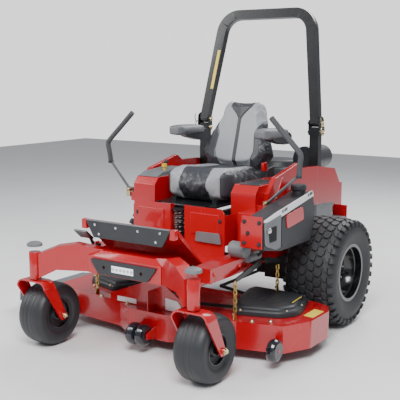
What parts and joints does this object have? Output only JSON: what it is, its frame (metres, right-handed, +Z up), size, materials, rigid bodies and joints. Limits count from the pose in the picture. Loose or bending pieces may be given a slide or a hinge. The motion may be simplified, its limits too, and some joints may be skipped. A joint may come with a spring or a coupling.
{
  "type": "zero turn mower",
  "caption": "Ride-on zero turn mower with a wide belt-driven deck, twin drive levers, sprung operator platform, front casters and a folding roll bar.",
  "frame": {"origin": "middle of the mower's footprint on the ground", "axes": "+Z up, +Y to the rear (the mower faces -Y), +X to the operator's left"},
  "size_m": [1.878, 2.102, 1.7983],
  "materials": {
    "red_paint": "gloss",
    "black_paint": "satin",
    "black_panel": "satin",
    "bearing_steel": "machined",
    "lens": "clear",
    "black_plastic": "grained",
    "grey_plastic": "grained",
    "engine_alloy": "cast",
    "cast_case": "painted",
    "spring_steel": "gloss",
    "seat_vinyl": "grained vinyl",
    "arm_vinyl": "moulded",
    "plated_steel": "zinc plated",
    "lever_steel": "satin",
    "belt_rubber": "cloth faced",
    "chain_zinc": "yellow zinc",
    "roller_plastic": "moulded",
    "knob_yellow": "moulded",
    "blade_steel": "ground edge",
    "caster_rubber": "smooth",
    "wheel_black": "gloss",
    "tyre": "turf tread"
  },
  "bodies": {
    "chassis": {"main_frame": "red_paint", "front_frame": "red_paint", "caster_bearings": "bearing_steel", "light_bar": "black_panel", "light_lens": "lens", "rops_posts": "black_paint", "rear_guard": "red_paint", "fuel_tank": "black_plastic", "console_left": "red_paint", "console_right": "red_paint", "control_panel": "grey_plastic", "engine_block": "engine_alloy", "engine_shroud": "black_plastic", "air_cleaner": "black_plastic", "transaxles": "cast_case", "damper_tube": "black_paint", "suspension_spring": "spring_steel"},
    "caster_fork_left": {"fork_left": "red_paint"},
    "caster_wheel_left": {"caster_tyre_left": "caster_rubber", "caster_hub_left": "wheel_black"},
    "drive_wheel_left": {"drive_tyre_left": "tyre", "drive_rim_left": "wheel_black"},
    "caster_fork_right": {"fork_right": "red_paint"},
    "caster_wheel_right": {"caster_tyre_right": "caster_rubber", "caster_hub_right": "wheel_black"},
    "drive_wheel_right": {"drive_tyre_right": "tyre", "drive_rim_right": "wheel_black"},
    "platform": {"floor_pan": "red_paint", "footplate": "black_panel", "front_pod": "red_paint", "seat_frame": "black_paint"},
    "seat_base": {"seat_plate": "black_paint"},
    "seat": {"seat_cushion": "seat_vinyl", "seat_back": "seat_vinyl"},
    "armrest_left": {"armrest_left": "arm_vinyl"},
    "armrest_right": {"armrest_right": "arm_vinyl"},
    "lever_base_left": {"lever_base_left": "plated_steel"},
    "drive_lever_left": {"lever_left": "lever_steel"},
    "lever_base_right": {"lever_base_right": "plated_steel"},
    "drive_lever_right": {"lever_right": "lever_steel"},
    "roll_hoop": {"rops_hoop": "black_paint"},
    "deck": {"deck_shell": "red_paint", "spindle_housings": "cast_case", "belt_covers": "black_plastic", "drive_belt": "belt_rubber", "lift_chains": "chain_zinc"},
    "front_lift": {"front_lift_arms": "black_paint"},
    "rear_lift": {"rear_lift_arms": "black_paint"},
    "lift_pedal": {"lift_pedal": "black_paint"},
    "blade_centre": {"blade_centre": "blade_steel"},
    "blade_left": {"blade_left": "blade_steel"},
    "blade_right": {"blade_right": "blade_steel"},
    "blade_clutch": {"clutch_pulley": "bearing_steel"},
    "roller_centre": {"roller_centre": "roller_plastic"},
    "roller_left": {"roller_left": "roller_plastic"},
    "roller_right": {"roller_right": "roller_plastic"},
    "deflector": {"discharge_deflector": "grey_plastic"},
    "throttle": {"throttle_lever": "black_plastic"},
    "blade_switch": {"blade_switch_knob": "knob_yellow"},
    "fuel_cap": {"fuel_cap": "black_plastic"}
  },
  "joints": [
    {"name": "fork_swivel_left", "type": "hinge", "parent": "chassis", "child": "caster_fork_left", "pos_m": [0.66, -0.982, 0.44], "axis": [0, 0, 1], "continuous": true},
    {"name": "caster_spin_left", "type": "hinge", "parent": "caster_fork_left", "child": "caster_wheel_left", "pos_m": [0.66, -0.886, 0.165], "axis": [1, 0, 0], "continuous": true},
    {"name": "drive_spin_left", "type": "hinge", "parent": "chassis", "child": "drive_wheel_left", "pos_m": [0.733, 0.279, 0.305], "axis": [1, 0, 0], "continuous": true},
    {"name": "fork_swivel_right", "type": "hinge", "parent": "chassis", "child": "caster_fork_right", "pos_m": [-0.332, -0.982, 0.44], "axis": [0, 0, 1], "continuous": true},
    {"name": "caster_spin_right", "type": "hinge", "parent": "caster_fork_right", "child": "caster_wheel_right", "pos_m": [-0.332, -0.886, 0.165], "axis": [1, 0, 0], "continuous": true},
    {"name": "drive_spin_right", "type": "hinge", "parent": "chassis", "child": "drive_wheel_right", "pos_m": [-0.405, 0.279, 0.305], "axis": [1, 0, 0], "continuous": true},
    {"name": "platform_travel", "type": "slide", "parent": "chassis", "child": "platform", "axis": [0, 0, 1], "range_m": [-0.05, 0], "stiffness_N_per_m": 30000, "springref_m": 0.045, "deforming": ["suspension_spring"]},
    {"name": "seat_tilt", "type": "hinge", "parent": "platform", "child": "seat_base", "pos_m": [0.164, -0.366, 0.712], "axis": [1, 0, 0], "range_deg": [0, 60]},
    {"name": "seat_slide", "type": "slide", "parent": "seat_base", "child": "seat", "axis": [0, 1, 0], "range_m": [-0.05, 0.05]},
    {"name": "armrest_fold_left", "type": "hinge", "parent": "seat", "child": "armrest_left", "pos_m": [0.436, 0.259, 1.034], "axis": [-1, 0, 0], "range_deg": [0, 100]},
    {"name": "armrest_fold_right", "type": "hinge", "parent": "seat", "child": "armrest_right", "pos_m": [-0.108, 0.259, 1.034], "axis": [-1, 0, 0], "range_deg": [0, 100]},
    {"name": "lever_rock_left", "type": "hinge", "parent": "chassis", "child": "lever_base_left", "pos_m": [0.619, -0.251, 0.722], "axis": [1, 0, 0], "range_deg": [-10, 20], "stiffness_Nm_per_rad": 60},
    {"name": "lever_park_left", "type": "hinge", "parent": "lever_base_left", "child": "drive_lever_left", "pos_m": [0.619, -0.251, 0.75], "axis": [0, 1, 0], "range_deg": [-30, 0]},
    {"name": "lever_rock_right", "type": "hinge", "parent": "chassis", "child": "lever_base_right", "pos_m": [-0.291, -0.251, 0.722], "axis": [1, 0, 0], "range_deg": [-10, 20], "stiffness_Nm_per_rad": 60},
    {"name": "lever_park_right", "type": "hinge", "parent": "lever_base_right", "child": "drive_lever_right", "pos_m": [-0.291, -0.251, 0.75], "axis": [0, -1, 0], "range_deg": [-30, 0]},
    {"name": "rops_fold", "type": "hinge", "parent": "chassis", "child": "roll_hoop", "pos_m": [0.164, 0.435, 1.125], "axis": [-1, 0, 0], "range_deg": [0, 85]},
    {"name": "deck_lift", "type": "slide", "parent": "chassis", "child": "deck", "axis": [0, 0, 1], "range_m": [0, 0.08]},
    {"name": "front_lift_turn", "type": "hinge", "parent": "chassis", "child": "front_lift", "pos_m": [0.164, -0.341, 0.452], "axis": [1, 0, 0], "range_deg": [-22, 0]},
    {"name": "rear_lift_turn", "type": "hinge", "parent": "chassis", "child": "rear_lift", "pos_m": [0.164, -0.261, 0.452], "axis": [1, 0, 0], "range_deg": [0, 34]},
    {"name": "pedal_turn", "type": "hinge", "parent": "chassis", "child": "lift_pedal", "pos_m": [-0.181, -0.681, 0.515], "axis": [1, 0, 0], "range_deg": [0, 30]},
    {"name": "blade_spin_centre", "type": "hinge", "parent": "deck", "child": "blade_centre", "pos_m": [0.164, -0.403, 0.15], "axis": [0, 0, 1], "continuous": true},
    {"name": "blade_spin_left", "type": "hinge", "parent": "deck", "child": "blade_left", "pos_m": [0.662, -0.293, 0.15], "axis": [0, 0, 1], "continuous": true},
    {"name": "blade_spin_right", "type": "hinge", "parent": "deck", "child": "blade_right", "pos_m": [-0.334, -0.293, 0.15], "axis": [0, 0, 1], "continuous": true},
    {"name": "clutch_spin", "type": "hinge", "parent": "chassis", "child": "blade_clutch", "pos_m": [0.164, 0.679, 0.22], "axis": [0, 0, 1], "continuous": true},
    {"name": "roller_spin_centre", "type": "hinge", "parent": "deck", "child": "roller_centre", "pos_m": [0.157, -0.747, 0.095], "axis": [1, 0, 0], "continuous": true},
    {"name": "roller_spin_left", "type": "hinge", "parent": "deck", "child": "roller_left", "pos_m": [0.854, -0.576, 0.095], "axis": [1, 0, 0], "continuous": true},
    {"name": "roller_spin_right", "type": "hinge", "parent": "deck", "child": "roller_right", "pos_m": [-0.476, -0.628, 0.095], "axis": [1, 0, 0], "continuous": true},
    {"name": "deflector_fold", "type": "hinge", "parent": "deck", "child": "deflector", "pos_m": [-0.62, -0.361, 0.188], "axis": [0, 1, 0], "range_deg": [0, 85]},
    {"name": "throttle_turn", "type": "hinge", "parent": "chassis", "child": "throttle", "pos_m": [-0.199, -0.021, 0.846], "axis": [1, 0, 0], "range_deg": [-25, 25]},
    {"name": "blade_switch_pull", "type": "slide", "parent": "chassis", "child": "blade_switch", "axis": [0, 0, 1], "range_m": [0, 0.012]},
    {"name": "fuel_cap_turn", "type": "hinge", "parent": "chassis", "child": "fuel_cap", "pos_m": [0.709, -0.071, 0.82], "axis": [0, 0, 1], "continuous": true}
  ],
  "couplings": [
    {"joint": "front_lift_turn", "follows": "deck_lift", "rad_per_m": -4.6033},
    {"joint": "rear_lift_turn", "follows": "deck_lift", "rad_per_m": 7.0904},
    {"joint": "pedal_turn", "follows": "deck_lift", "rad_per_m": 6.1087},
    {"joint": "blade_spin_left", "follows": "blade_spin_centre", "ratio": 1},
    {"joint": "blade_spin_right", "follows": "blade_spin_centre", "ratio": 1},
    {"joint": "clutch_spin", "follows": "blade_spin_centre", "ratio": 1}
  ]
}
